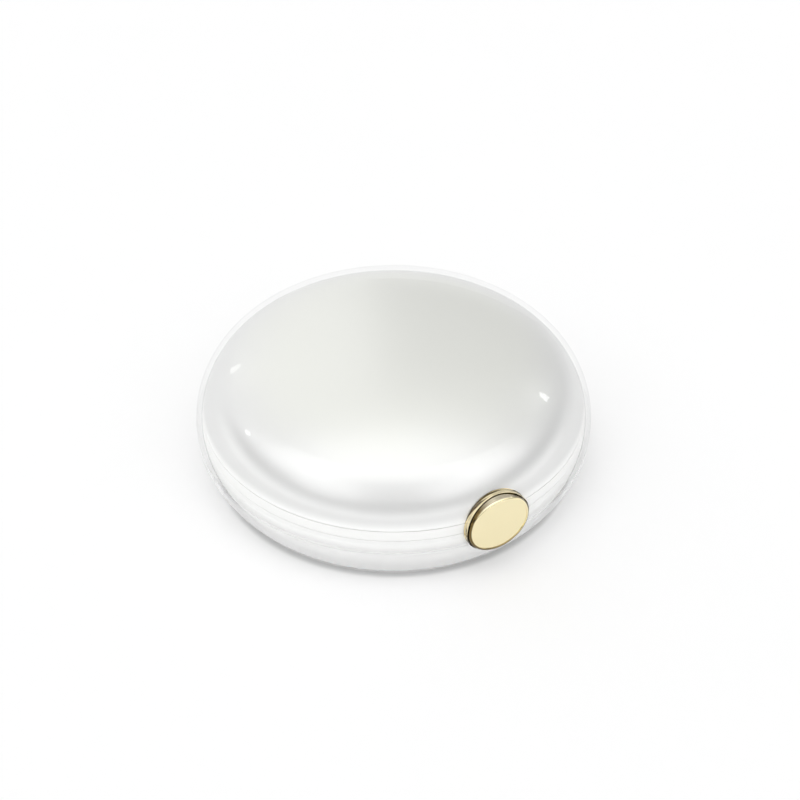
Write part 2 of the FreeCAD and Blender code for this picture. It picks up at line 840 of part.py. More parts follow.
outline(
    hook_sketch,
    [
        (-hook_front, nose_low),
        (-hook_back, nose_low),
        (-nose_tip, nose_top - size("hook_nose_height") / 3),
        (-nose_tip, nose_top),
        (-hook_back, nose_top),
        (-hook_back, hook_root),
        (-hook_front, hook_root),
    ],
)
lid_liner.grow(hook_sketch, size("hook_half") * 2, "hook", both=True)
badge_notch(lid_liner)
liner_swing = lid_liner.sketch("YZ_Plane")
disc(liner_swing, hinge_y, parting, swing)
lid_liner.cut(liner_swing, notch_half * 2, "knuckle_room", both=True)
lid_knuckle_start = size("knuckle_half") + size("knuckle_side_gap")
lid_knuckle_width = size("hinge_half") - lid_knuckle_start
lid_arm_sketch = lid_liner.sketch("YZ_Plane", lid_knuckle_start)
rectangle(
    lid_arm_sketch,
    hinge_y - size("lid_arm_root"),
    hinge_y,
    parting + size("deck_drop"),
    parting + size("barrel_radius"),
)
lid_arm = lid_liner.grow(lid_arm_sketch, lid_knuckle_width, "hinge_arm")
lid_barrel_sketch = lid_liner.sketch("YZ_Plane", lid_knuckle_start)
disc(lid_barrel_sketch, hinge_y, parting, size("barrel_radius"))
lid_barrel = lid_liner.grow(lid_barrel_sketch, lid_knuckle_width, "barrel")
lid_liner.mirror([lid_arm, lid_barrel], "knuckles")
lid_bore_sketch = lid_liner.sketch("YZ_Plane")
disc(lid_bore_sketch, hinge_y, parting, size("hinge_pin_radius") + size("pin_play"))
lid_liner.cut(lid_bore_sketch, notch_half * 2, "pin_bore", both=True)

mirror = turned_disc("mirror", mirror_radius, mirror_low, mirror_top)
tape_radius = mirror_radius - size("tape_inset")
mirror_tape = turned_disc("mirror_tape", tape_radius, mirror_top, tape_top)

# clasp: gold badge pressed by the thumb, the slider behind it and a bowed leaf spring
push_badge = Piece("push_badge")
badge_sketch = push_badge.sketch("XZ_Plane", badge_back)
oval(badge_sketch, size("badge_half_width"), size("badge_half_height"), badge_level)
badge = push_badge.grow(badge_sketch, size("badge_thickness"), "badge")
face_y = -badge_face.value


def on_face(edge):
    return abs(edge.BoundBox.YMin - face_y) < 0.01 and abs(edge.BoundBox.YMax - face_y) < 0.01


rim = size("badge_rim")
face_sketch = push_badge.sketch("XZ_Plane", badge_face)
oval(face_sketch, size("badge_half_width") - rim, size("badge_half_height") - rim, badge_level)
push_badge.fillet(badge, on_face, size("badge_round"), "rounded_rim")
push_badge.cut(face_sketch, size("badge_recess"), "face")
tenon_low = slider_low + (size("slider_thickness") - size("tenon_height")) / 2
socket_sketch = push_badge.sketch("XZ_Plane", badge_back)
tenon_half = size("tenon_half")
rectangle(socket_sketch, -tenon_half, tenon_half, tenon_low, tenon_low + size("tenon_height"))
push_badge.cut(socket_sketch, size("tenon_reach"), "socket", reversed=True)

latch_slider = Piece("latch_slider")
slider_sketch = latch_slider.sketch("XY_Plane", slider_low)
slider_half = size("slider_half")
rectangle(slider_sketch, -slider_half, slider_half, -badge_back, -slider_back)
latch_slider.grow(slider_sketch, size("slider_thickness"), "plate")
window_sketch = latch_slider.sketch("XY_Plane", slider_top)
window_half = size("window_half")
rectangle(window_sketch, -window_half, window_half, -window_front, -catch_edge)
latch_slider.cut(window_sketch, None, "window")
tenon_sketch = latch_slider.sketch("XZ_Plane", badge_back)
rectangle(tenon_sketch, -tenon_half, tenon_half, tenon_low, tenon_low + size("tenon_height"))
latch_slider.grow(tenon_sketch, size("tenon_reach"), "tenon")

latch_spring = Piece("latch_spring")
spring_low = slider_low + (size("slider_thickness") - size("spring_height")) / 2
spring_sketch = latch_spring.sketch("XY_Plane", spring_low)
spring_root = -slider_back
spring_rise = slider_back - well_outer - size("slide_play") / 2
spring_out = Ellipse(size("spring_half"), spring_rise, spring_root)
spring_in = Ellipse(
    size("spring_half") - size("spring_strip"), spring_rise - size("spring_strip"), spring_root
)
outline(
    spring_sketch,
    [
        (size("spring_half"), spring_root),
        (-size("spring_half"), spring_root),
        (-(size("spring_half") - size("spring_strip")), spring_root),
        (size("spring_half") - size("spring_strip"), spring_root),
    ],
    {0: spring_out, 2: spring_in},
)
latch_spring.grow(spring_sketch, size("spring_height"), "leaf")

PIECES = [
    base_shell, base_bowl, base_deck, hinge_pin, refill_case, cushion_ring, cushion,
    inner_lid, seal_ring, puff_foam, puff_cover, puff_strap,
    lid_shell, lid_dome, lid_liner, mirror, mirror_tape,
    push_badge, latch_slider, latch_spring,
]

doc.recompute()
broken = [o.Label for o in doc.Objects if {"Invalid", "Error"} & set(o.State)]
if broken:
    raise SystemExit(f"not built: {broken}")
os.makedirs("parts", exist_ok=True)
for piece in PIECES:
    shape = piece.body.Shape
    if shape.isNull() or not shape.isValid() or len(shape.Solids) != 1:
        raise SystemExit(f"{piece.name} is not one valid solid")
    shape.exportStep(f"parts/{piece.name}.step")
    print(piece.name, round(shape.Volume, 1), "mm3")
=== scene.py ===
import json
import math

import bmesh
import bpy
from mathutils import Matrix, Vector


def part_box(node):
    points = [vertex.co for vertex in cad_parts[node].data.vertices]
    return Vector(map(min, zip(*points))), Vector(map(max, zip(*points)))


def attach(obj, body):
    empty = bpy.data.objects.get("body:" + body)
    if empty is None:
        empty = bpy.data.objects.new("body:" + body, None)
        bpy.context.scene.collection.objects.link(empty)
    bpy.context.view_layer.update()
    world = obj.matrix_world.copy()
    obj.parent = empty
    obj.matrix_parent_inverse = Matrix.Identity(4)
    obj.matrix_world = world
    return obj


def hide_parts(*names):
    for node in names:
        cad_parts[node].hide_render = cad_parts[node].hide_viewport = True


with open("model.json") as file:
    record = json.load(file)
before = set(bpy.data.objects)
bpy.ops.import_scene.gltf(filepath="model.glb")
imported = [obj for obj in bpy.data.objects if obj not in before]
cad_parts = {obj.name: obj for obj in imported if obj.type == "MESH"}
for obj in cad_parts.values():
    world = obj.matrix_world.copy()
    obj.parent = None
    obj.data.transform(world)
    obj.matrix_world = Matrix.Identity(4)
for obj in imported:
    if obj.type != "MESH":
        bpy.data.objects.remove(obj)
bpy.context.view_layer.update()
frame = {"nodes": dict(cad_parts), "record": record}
nodes = frame["nodes"]
mm = 0.001
print("frame loaded:", len(nodes), "nodes")


# shader sums are written as plain expressions on these
class Signal:
    def __init__(self, graph, socket):
        self.graph = graph
        self.socket = socket

    def sum(self, operation, a, b=0.0):
        return self.graph.one("ShaderNodeMath", {"operation": operation}, {0: a, 1: b})

    def __add__(self, other):
        return self.sum("ADD", self, other)

    __radd__ = __add__

    def __sub__(self, other):
        return self.sum("SUBTRACT", self, other)

    def __rsub__(self, other):
        return self.sum("SUBTRACT", other, self)

    def __mul__(self, other):
        return self.sum("MULTIPLY", self, other)

    __rmul__ = __mul__

    def __truediv__(self, other):
        return self.sum("DIVIDE", self, other)

    def __rtruediv__(self, other):
        return self.sum("DIVIDE", other, self)

    def __neg__(self):
        return self.sum("MULTIPLY", self, -1.0)

    def __abs__(self):
        return self.sum("ABSOLUTE", self)

    def __lt__(self, other):
        return self.sum("LESS_THAN", self, other)

    def least(self, other):
        return self.sum("MAXIMUM", self, other)


class Graph:
    def __init__(self, tree):
        self.tree = tree
        self.tree.nodes.clear()
        self.coords = self.node("ShaderNodeTexCoord", {}, {})

    def node(self, kind, settings, inputs):
        made = self.tree.nodes.new(kind)
        for key, value in settings.items():
            setattr(made, key, value)
        for key, value in inputs.items():
            if isinstance(value, Signal):
                self.tree.links.new(value.socket, made.inputs[key])
            else:
                made.inputs[key].default_value = value
        return made

    def out(self, node, output=0):
        return Signal(self, node.outputs[output])

    def one(self, kind, settings, inputs, output=0):
        return self.out(self.node(kind, settings, inputs), output)

    def at(self, output="Object"):
        return self.out(self.coords, output)

    def noise(self, scale, detail=2.0, vector=None):
        sockets = {"Vector": vector or self.at(), "Scale": scale, "Detail": detail}
        return self.one("ShaderNodeTexNoise", {}, sockets)

    def cells(self, scale, output=0):
        return self.one("ShaderNodeTexVoronoi", {}, {"Vector": self.at(), "Scale": scale}, output)

    def wave(self, scale, axis, distortion=0.0):
        sockets = {"Vector": self.at(), "Scale": scale, "Distortion": distortion}
        return self.one("ShaderNodeTexWave", {"bands_direction": axis}, sockets, 1)

    def stretched(self, scale):
        return self.one("ShaderNodeMapping", {}, {"Vector": self.at(), "Scale": scale})

    def axes(self, vector):
        made = self.node("ShaderNodeSeparateXYZ", {}, {0: vector})
        return [Signal(self, s) for s in made.outputs]

    def mix(self, factor, first, second):
        return self.one("ShaderNodeMix", {"data_type": "RGBA"}, {0: factor, 6: first, 7: second}, 2)

    # 0 below low, 1 above high, soft between
    def ramp(self, value, low, high):
        soft = {"interpolation_type": "SMOOTHSTEP"}
        return self.one("ShaderNodeMapRange", soft, {"Value": value, "From Min": low, "From Max": high})

    def spread(self, value, low, high, toLow, toHigh):
        sockets = {"Value": value, "From Min": low, "From Max": high}
        sockets.update({"To Min": toLow, "To Max": toHigh})
        return self.one("ShaderNodeMapRange", {}, sockets)

    def bump(self, height, strength, distance):
        sockets = {"Height": height, "Strength": strength, "Distance": distance}
        return self.one("ShaderNodeBump", {}, sockets)


class Finish(Graph):
    def __init__(self, name):
        self.material = bpy.data.materials.new(name)
        self.material.use_nodes = True
        super().__init__(self.material.node_tree)

    def principled(self, **inputs):
        named = {key.replace("_", " "): value for key, value in inputs.items()}
        return self.one("ShaderNodeBsdfPrincipled", {}, named)

    def end(self, shader):
        self.node("ShaderNodeOutputMaterial", {}, {"Surface": shader})
        return self.material

    def surface(self, **inputs):
        return self.end(self.principled(**inputs))


def rgb(r, g, b):
    return (r, g, b, 1.0)


# 1 on the badge's oval, less inside it; lift raises the oval
def ovalShare(f, gap, lift=0.0):
    low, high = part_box("push_badge")
    x, _, z = f.axes(f.at())
    across = x / ((high[0] - low[0]) / 2 + gap)
    upright = (z - (high[2] + low[2]) / 2 - lift) / ((high[2] - low[2]) / 2 + gap)
    return across * across + upright * upright


# clear skin: thin polished acrylic, so it shows by its gloss and a trace of grey and bends nothing.
# The wall of the badge's window is gold foiled, streaked with painted dark reflections and darkened low down
# by painted shade, and the base is faintly frosted, grey at its foot from painted shade
clearLook = {
    "tint": rgb(0.994, 0.995, 0.994), "glossIndex": 1.5, "gloss": 0.65,
    "hazeScale": 90.0, "hazeDetail": 3.0, "hazeFrom": 0.45, "hazeTo": 0.75, "haze": 0.015,
    "windowGap": 0.2 * mm, "foilWidth": 0.02, "foilBack": -30.0 * mm,
    "foil": rgb(0.92, 0.8, 0.52), "foilRough": 0.2,
    # the dark brown is painted on the foil: streaks of painted dark reflection, and painted shade low on the
    # window wall
    "darkReflectionAndShade": rgb(0.1, 0.07, 0.03), "streakScale": (130.0, 2200.0, 130.0),
    "streakFrom": 0.48, "streakTo": 0.58, "wallShadeFrom": 10.5 * mm, "wallShadeTo": 8.5 * mm,
    "frost": rgb(0.98, 0.98, 0.98), "frostFrom": 8.0 * mm, "frostTo": 11.0 * mm, "frostShare": 0.45,
    # the grey at the foot is painted shade, a painted contact shadow along the base's lowest edge
    "foot": rgb(0.5, 0.5, 0.5), "footFrom": 0.4 * mm, "footTo": 1.2 * mm,
}


def clearAcrylic():
    look = clearLook
    f = Finish("clearAcrylic")
    cloud = f.noise(look["hazeScale"], look["hazeDetail"])
    haze = f.spread(cloud, look["hazeFrom"], look["hazeTo"], 0.0, look["haze"])
    path = f.node("ShaderNodeLightPath", {}, {})
    seen = f.out(path, "Is Camera Ray").least(f.out(path, "Is Glossy Ray"))
    facing = f.one("ShaderNodeNewGeometry", {}, {}, "Backfacing") < 0.5
    sheen = f.one("ShaderNodeFresnel", {}, {"IOR": look["glossIndex"]}) * facing * look["gloss"] * seen
    through = f.one("ShaderNodeBsdfTransparent", {}, {"Color": look["tint"]})
    polish = f.one("ShaderNodeBsdfGlossy", {}, {"Roughness": haze})
    skin = f.one("ShaderNodeMixShader", {}, {0: sheen, 1: through, 2: polish})

    _, y, z = f.axes(f.at())
    low = 1 - f.ramp(z, look["frostFrom"], look["frostTo"])
    # painted shade: the frost turns grey at the foot of the base, as a painted contact shadow
    foot = 1 - f.ramp(z, look["footFrom"], look["footTo"])
    tone = f.mix(foot, look["frost"], look["foot"])
    pale = f.principled(Base_Color=tone, Roughness=1.0, Specular_IOR_Level=0.0)
    frosted = low * facing * look["frostShare"]
    skin = f.one("ShaderNodeMixShader", {}, {0: frosted, 1: skin, 2: pale})

    # painted dark reflections: stretched dark streaks on the gold foil
    darkReflectionAndShade = f.noise(1.0, 2.0, f.stretched(look["streakScale"]))
    darkReflectionAndShade = f.ramp(darkReflectionAndShade, look["streakFrom"], look["streakTo"])
    # painted shade: the foil turns dark brown towards the bottom of the window wall
    darkReflectionAndShade = darkReflectionAndShade.least(1 - f.ramp(z, look["wallShadeTo"], look["wallShadeFrom"]))
    tone = f.mix(darkReflectionAndShade, look["foil"], look["darkReflectionAndShade"])
    foil = f.principled(Base_Color=tone, Metallic=1.0, Roughness=look["foilRough"])
    onWall = abs(ovalShare(f, look["windowGap"]) - 1) < look["foilWidth"]
    foiled = onWall * (y < look["foilBack"])
    return f.end(f.one("ShaderNodeMixShader", {}, {0: foiled, 1: skin, 2: foil}))


# the pearl is white at its rim, silver on its flank and faintly olive on its crown
pearlLook = {
    "crown": rgb(0.83, 0.835, 0.795), "flank": rgb(0.79, 0.79, 0.787), "rim": rgb(0.965, 0.965, 0.96),
    "rimFrom": 13.8 * mm, "rimTo": 15.8 * mm, "crownFrom": 21.0 * mm, "crownTo": 29.0 * mm,
    "metal": 0.45, "rough": 0.3, "index": 1.5, "cloudScale": 40.0, "cloud": 4.0 * mm,
    "flakeScale": 7000.0, "flakeRough": 0.05, "flakeBump": 0.01, "flakeDepth": 0.02 * mm,
}


def pearlCoat():
    look = pearlLook
    f = Finish("pearlCoat")
    height = f.axes(f.at())[2]
    flake = f.cells(look["flakeScale"], 1)
    sparkle = f.one("ShaderNodeSeparateColor", {}, {0: flake})
    cloud = (f.noise(look["cloudScale"], 2.0) - 0.5) * look["cloud"]
    upward = f.ramp(height + cloud, look["crownFrom"], look["crownTo"])
    silver = f.mix(upward, look["flank"], look["crown"])
    inward = f.ramp(height, look["rimFrom"], look["rimTo"])
    return f.surface(
        Base_Color=f.mix(inward, look["rim"], silver), Metallic=inward * look["metal"],
        Roughness=look["rough"] + sparkle * look["flakeRough"], IOR=look["index"],
        Normal=f.bump(sparkle, look["flakeBump"], look["flakeDepth"]),
    )


mouldLook = {
    "white": rgb(0.95, 0.948, 0.94), "shade": rgb(0.94, 0.938, 0.93), "cloudScale": 25.0,
    "rough": 0.27, "cloudRough": 0.03, "index": 1.5,
}


def whiteMoulding():
    look = mouldLook
    f = Finish("whiteMoulding")
    cloud = f.noise(look["cloudScale"], 1.0)
    return f.surface(
        Base_Color=f.mix(cloud, look["white"], look["shade"]),
        Roughness=look["rough"] + cloud * look["cloudRough"], IOR=look["index"],
    )


# brushed face inside a polished rim, whose outer edge is painted dark brown as a painted reflection of its
# dark surroundings
goldLook = {
    # line: the dark brown painted on the outer edge of the face as a painted reflection
    "face": rgb(0.905, 0.81, 0.53), "rim": rgb(0.94, 0.86, 0.66), "line": rgb(0.16, 0.11, 0.04),
    "rimRough": 0.05, "faceRough": 0.2, "faceBack": 0.3 * mm,
    "reflectionFrom": 0.885, "reflectionTo": 0.925, "reflectionLift": 0.32 * mm, "reflectionBack": 1.4 * mm,
    "brushScale": (60.0, 1.0, 4000.0), "brushRough": 0.08, "brushBump": 0.03, "brushDepth": 0.03 * mm,
}


def paleGold():
    look = goldLook
    f = Finish("paleGold")
    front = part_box("push_badge")[0][1]
    depth = f.axes(f.at())[1]
    onFace = depth < front + look["faceBack"]
    # painted dark reflection along the outer edge of the face
    edge = f.ramp(ovalShare(f, 0.0, look["reflectionLift"]), look["reflectionFrom"], look["reflectionTo"])
    edge = edge * (depth < front + look["reflectionBack"])
    brush = f.noise(1.0, 2.0, f.stretched(look["brushScale"]))
    brushed = look["faceRough"] + brush * look["brushRough"]
    gold = f.mix(onFace, look["rim"], look["face"])
    return f.surface(
        Base_Color=f.mix(edge, gold, look["line"]), Metallic=1.0,
        Roughness=onFace * brushed + (1 - onFace) * look["rimRough"],
        Normal=f.bump(brush * onFace, look["brushBump"], look["brushDepth"]),
    )


mirrorLook = {
    "silver": rgb(0.93, 0.94, 0.945), "dustScale": 700.0, "dustFrom": 0.55, "dustTo": 0.8,
    "clean": 0.01, "dusty": 0.05,
}


def silverGlass():
    look = mirrorLook
    f = Finish("silverGlass")
    dust = f.noise(look["dustScale"], 4.0)
    rough = f.spread(dust, look["dustFrom"], look["dustTo"], look["clean"], look["dusty"])
    return f.surface(Base_Color=look["silver"], Metallic=1.0, Roughness=rough)


steelLook = {
    "grey": rgb(0.62, 0.62, 0.61), "lineScale": (30.0, 5000.0, 5000.0), "rough": 0.2, "lineRough": 0.2,
    "bump": 0.08, "depth": 0.02 * mm,
}


def drawnSteel():
    look = steelLook
    f = Finish("drawnSteel")
    lines = f.noise(1.0, 2.0, f.stretched(look["lineScale"]))
    return f.surface(
        Base_Color=look["grey"], Metallic=1.0, Roughness=look["rough"] + lines * look["lineRough"],
        Normal=f.bump(lines, look["bump"], look["depth"]),
    )


acetalLook = {
    "pale": rgb(0.80, 0.80, 0.77), "dull": rgb(0.76, 0.76, 0.73), "grainScale": 1200.0,
    "rough": 0.4, "grainRough": 0.15, "bump": 0.08, "depth": 0.04 * mm,
}


def naturalAcetal():
    look = acetalLook
    f = Finish("naturalAcetal")
    grain = f.noise(look["grainScale"], 3.0)
    return f.surface(
        Base_Color=f.mix(grain, look["pale"], look["dull"]),
        Roughness=look["rough"] + grain * look["grainRough"],
        Normal=f.bump(grain, look["bump"], look["depth"]),
    )


siliconeLook = {
    "pale": rgb(0.82, 0.82, 0.81), "dull": rgb(0.77, 0.77, 0.76), "grainScale": 800.0,
    "rough": 0.5, "grainRough": 0.2,
}


def softSilicone():
    look = siliconeLook
    f = Finish("softSilicone")
    grain = f.noise(look["grainScale"], 2.0)
    return f.surface(
        Base_Color=f.mix(grain, look["pale"], look["dull"]),
        Roughness=look["rough"] + grain * look["grainRough"],
    )


tapeLook = {
    # pore: darker colour painted in the pores, as painted shade
    "pore": rgb(0.74, 0.74, 0.72), "wall": rgb(0.82, 0.82, 0.8), "poreScale": 2500.0, "rough": 0.8,
    "bump": 0.3, "depth": 0.1 * mm,
}


def foamTape():
    look = tapeLook
    f = Finish("foamTape")
    pore = f.cells(look["poreScale"])
    # painted shade: the pores are darker where the bump sinks
    return f.surface(
        Base_Color=f.mix(pore, look["pore"], look["wall"]), Roughness=look["rough"],
        Normal=f.bump(pore, look["bump"], look["depth"]),
    )


foamLook = {
    "wet": rgb(0.64, 0.42, 0.27), "dry": rgb(0.74, 0.52, 0.36),
    "poreScale": 900.0, "poreFrom": 0.05, "poreTo": 0.55, "poreShare": 0.7, "bump": 0.5, "depth": 0.3 * mm,
    "poolScale": 70.0, "poolShare": 0.3, "poolFrom": 0.3, "poolTo": 0.7,
    "wetRough": 0.2, "dryRough": 0.55, "index": 1.42,
}


def soakedFoam():
    look = foamLook
    f = Finish("soakedFoam")
    pore = f.ramp(f.cells(look["poreScale"]), look["poreFrom"], look["poreTo"])
    pool = f.noise(look["poolScale"], 3.0)
    dry = pore * look["poreShare"] + pool * look["poolShare"]
    return f.surface(
        Base_Color=f.mix(dry, look["wet"], look["dry"]), IOR=look["index"],
        Roughness=f.spread(pool, look["poolFrom"], look["poolTo"], look["wetRough"], look["dryRough"]),
        Normal=f.bump(pore, look["bump"], look["depth"]),
    )


padLook = {
    "flesh": rgb(0.80, 0.67, 0.57), "light": rgb(0.84, 0.72, 0.62), "cloudScale": 90.0, "rough": 0.75,
    "sheen": 0.3, "sheenRough": 0.4, "poreScale": 3600.0, "bump": 0.25, "depth": 0.08 * mm,
}


def puffFoam():
    look = padLook
    f = Finish("puffFoam")
    pore = f.cells(look["poreScale"])
    cloud = f.noise(look["cloudScale"], 2.0)
    return f.surface(
        Base_Color=f.mix(cloud, look["flesh"], look["light"]), Roughness=look["rough"],
        Sheen_Weight=look["sheen"], Sheen_Roughness=look["sheenRough"],
        Normal=f.bump(pore, look["bump"], look["depth"]),
    )


knitLook = {
    # valley: darker colour painted in the hollows between the loops, as painted shade
    "valleyShade": rgb(0.80, 0.775, 0.73), "loop": rgb(0.88, 0.86, 0.82), "loopScale": 620.0, "rough": 0.85,
    "sheen": 0.4, "sheenRough": 0.35, "bump": 0.35, "depth": 0.12 * mm,
}


def knitCloth():
    look = knitLook
    f = Finish("knitCloth")
    # painted shade: the colour darkens where the bump sinks between the loops
    loops = f.wave(look["loopScale"], "X") * f.wave(look["loopScale"], "Y")
    return f.surface(
        Base_Color=f.mix(loops, look["valleyShade"], look["loop"]), Roughness=look["rough"],
        Sheen_Weight=look["sheen"], Sheen_Roughness=look["sheenRough"],
        Normal=f.bump(loops, look["bump"], look["depth"]),
    )


satinLook = {
    # valley: darker colour painted between the threads, as painted shade
    "valleyShade": rgb(0.78, 0.72, 0.60), "thread": rgb(0.86, 0.81, 0.70),
    "weftScale": 500.0, "weftBend": 1.0, "weftShare": 0.25, "threadScale": 1500.0, "threadShare": 0.75,
    "smooth": 0.28, "rough": 0.42, "sheen": 0.25, "sheenRough": 0.3, "bump": 0.25, "depth": 0.05 * mm,
}


def satinWeave():
    look = satinLook
    f = Finish("satinWeave")
    weft = f.wave(look["weftScale"], "X", look["weftBend"])
    # painted shade: the colour darkens where the bump sinks between the threads
    thread = f.wave(look["threadScale"], "Y") * look["threadShare"] + weft * look["weftShare"]
    return f.surface(
        Base_Color=f.mix(thread, look["valleyShade"], look["thread"]),
        Roughness=f.spread(weft, 0.0, 1.0, look["smooth"], look["rough"]),
        Sheen_Weight=look["sheen"], Sheen_Roughness=look["sheenRough"],
        Normal=f.bump(thread, look["bump"], look["depth"]),
    )


finishes = {
    "clear_skin": clearAcrylic(), "pearl_white": pearlCoat(), "white_moulding": whiteMoulding(),
    "pale_gold": paleGold(), "mirror": silverGlass(), "steel": drawnSteel(), "slider_resin": naturalAcetal(),
    "silicone": softSilicone(), "foam_tape": foamTape(), "soaked_foam": soakedFoam(),
    "puff_foam": puffFoam(), "puff_cloth": knitCloth(), "satin_strap": satinWeave(),
}
for sub in frame["record"]["subparts"]:
    node = nodes[sub["node"]]
    node.data.materials.clear()
    node.data.materials.append(finishes[sub["material_slot"]])
print("finishes:", len(finishes))


mergeGap = 1e-7


def meshPiece(name, build, finish):
    bm = bmesh.new()
    build(bm)
    bmesh.ops.remove_doubles(bm, verts=bm.verts, dist=mergeGap)
    bmesh.ops.recalc_face_normals(bm, faces=bm.faces)
    mesh = bpy.data.meshes.new(name)
    bm.to_mesh(mesh)
    bm.free()
    mesh.shade_smooth()
    piece = bpy.data.objects.new(name, mesh)
    bpy.context.collection.objects.link(piece)
    mesh.materials.append(finishes[finish])
    return piece


# a turned form from (radius, height) pairs, closed on the axis where the radius is 0
def lathe(bm, profile, steps, shape=None):
    rings = []
    for radius, height in profile:
        if radius <= 0:
            rings.append([bm.verts.new((0, 0, height))])
            continue
        ring = []
        for i in range(steps):
            turn = 2 * math.pi * i / steps
            spot = Vector((radius * math.cos(turn), radius * math.sin(turn), height))
            ring.append(bm.verts.new(shape(spot) if shape else spot))
        rings.append(ring)
    for low, high in zip(rings, rings[1:]):
        for i in range(steps):
            j = (i + 1) % steps
            if len(low) == 1:
                bm.faces.new((low[0], high[j], high[i]))
            elif len(high) == 1:
                bm.faces.new((low[i], low[j], high[0]))
            else:
                bm.faces.new((low[i], low[j], high[j], high[i]))


# half section of a pad: flat below, rounded at both edges, crowned on top
def roundedDisc(radius, low, high, edgeLow, edgeHigh, crown=0.0, rings=14, turns=8):
    profile = [(0, low)]
    for i in range(1, rings):
        profile.append(((radius - edgeLow) * i / rings, low))
    for i in range(turns + 1):
        t = math.pi / 2 * i / turns
        profile.append((radius - edgeLow + edgeLow * math.sin(t), low + edgeLow - edgeLow * math.cos(t)))
    top = high - crown
    for i in range(turns + 1):
        t = math.pi / 2 * i / turns
        profile.append((radius - edgeHigh + edgeHigh * math.cos(t), top - edgeHigh + edgeHigh * math.sin(t)))
    flat = radius - edgeHigh
    for i in range(rings - 1, 0, -1):
        r = flat * i / rings
        profile.append((r, top + crown * (1 - (r / flat) ** 2)))
    profile.append((0, high))
    return profile


# the puff lies in the dish of the inner lid, strap up
puffSizes = {
    "steps": 120, "gap": 0.1 * mm, "roundLow": 1.1 * mm, "roundHigh": 0.5 * mm,
    "backLow": 0.1 * mm, "backHigh": 0.35 * mm, "backCrown": 0.12 * mm,
}


def makePuff():
    sizes = puffSizes
    low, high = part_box("puff_foam")
    radius = high[0] - sizes["gap"]
    pad = roundedDisc(radius, low[2], high[2], sizes["roundLow"], sizes["roundHigh"])
    foam = meshPiece("puffPad", lambda bm: lathe(bm, pad, sizes["steps"]), "puff_foam")
    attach(foam, "refill_lid")
    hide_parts("puff_foam")
    low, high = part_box("puff_cover")
    radius = high[0] - sizes["gap"]
    cover = roundedDisc(radius, low[2], high[2], sizes["backLow"], sizes["backHigh"], sizes["backCrown"])
    back = meshPiece("puffBacking", lambda bm: lathe(bm, cover, sizes["steps"]), "puff_cloth")
    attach(back, "refill_lid")
    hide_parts("puff_cover")


makePuff()
print("puff made")

# the ribbon bows up from the backing between its two ends
strapSizes = {"columns": 48, "rows": 10, "thick": 0.3 * mm, "edge": 0.05 * mm, "fullness": 0.7}


def makeStrap():
    low, high = (Vector(c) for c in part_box("puff_strap"))
    cols = strapSizes["columns"]
    rows = strapSizes["rows"]
    size = high - low
    bow = size.z - strapSizes["thick"] - strapSizes["edge"]

    def build(bm):
        grid = []
        for i in range(cols + 1):
            u = i / cols
            lift = strapSizes["edge"] + bow * math.sin(math.pi * u) ** strapSizes["fullness"]
            line = []
            for j in range(rows + 1):
                v = j / rows
                line.append(bm.verts.new((low.x + size.x * u, low.y + size.y * v, low.z + lift)))
            grid.append(line)
        for i in range(cols):
            for j in range(rows):
                bm.faces.new((grid[i][j], grid[i + 1][j], grid[i + 1][j + 1], grid[i][j + 1]))

    strap = meshPiece("puffRibbon", build, "satin_strap")
    solid = strap.modifiers.new("cloth", "SOLIDIFY")
    solid.thickness = strapSizes["thick"]
    solid.offset = 1.0
    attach(strap, "refill_lid")
    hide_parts("puff_strap")


makeStrap()
print("strap made")

# the sponge lies a little below its ring and is faintly dimpled on top
cushionSizes = {
    "steps": 120, "gap": 0.05 * mm, "sink": 0.25 * mm, "roundLow": 0.5 * mm, "roundHigh": 0.9 * mm,
    "crown": 0.2 * mm, "ripple": 0.06 * mm, "rippleX": 310.0, "rippleY": 270.0, "rippleTurn": 1.0,
    "rippleDeep": 1.0 * mm,
}


def makeCushion():
    sizes = cushionSizes
    low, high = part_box("cushion_foam")

    def dimple(spot):
        wave = math.sin(spot.x * sizes["rippleX"])
        wave = wave * math.sin(spot.y * sizes["rippleY"] + sizes["rippleTurn"])
        onTop = spot.z > high[2] - sizes["rippleDeep"]
        return spot + Vector((0, 0, wave * sizes["ripple"] if onTop else 0))

    radius = high[0] - sizes["gap"]
    top = high[2] - sizes["sink"]
    sponge = roundedDisc(radius, low[2], top, sizes["roundLow"], sizes["roundHigh"], sizes["crown"])
    pad = meshPiece("cushionPad", lambda bm: lathe(bm, sponge, sizes["steps"], dimple), "soaked_foam")
    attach(pad, "base")
    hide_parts("cushion_foam")


makeCushion()
print("cushion made")

# camera: found from the outline of the case in the photograph
view = {
    "azimuth": -30.5, "elevation": 39.38, "distance": 0.45, "focalPixels": 2214.0,
    "centre": (393.7, 411.7), "aim": (0, 0, 11.5 * mm), "pixels": 800, "sensor": 36.0, "nearest": 0.01,
}


def lookFrom(azimuth, elevation):
    a = math.radians(azimuth)
    e = math.radians(elevation)
    return Vector((math.sin(a) * math.cos(e), -math.cos(a) * math.cos(e), math.sin(e)))


def addCamera():
    lens = bpy.data.cameras.new("camera")
    lens.sensor_width = view["sensor"]
    lens.lens = view["focalPixels"] / view["pixels"] * lens.sensor_width
    lens.shift_x = (view["pixels"] / 2 - view["centre"][0]) / view["pixels"]
    lens.shift_y = (view["centre"][1] - view["pixels"] / 2) / view["pixels"]
    lens.clip_start = view["nearest"]
    camera = bpy.data.objects.new("camera", lens)
    back = lookFrom(view["azimuth"], view["elevation"])
    camera.location = Vector(view["aim"]) + back * view["distance"]
    camera.rotation_euler = back.to_track_quat("Z", "Y").to_euler()
    bpy.context.collection.objects.link(camera)
    bpy.context.scene.camera = camera


addCamera()
print("camera set")

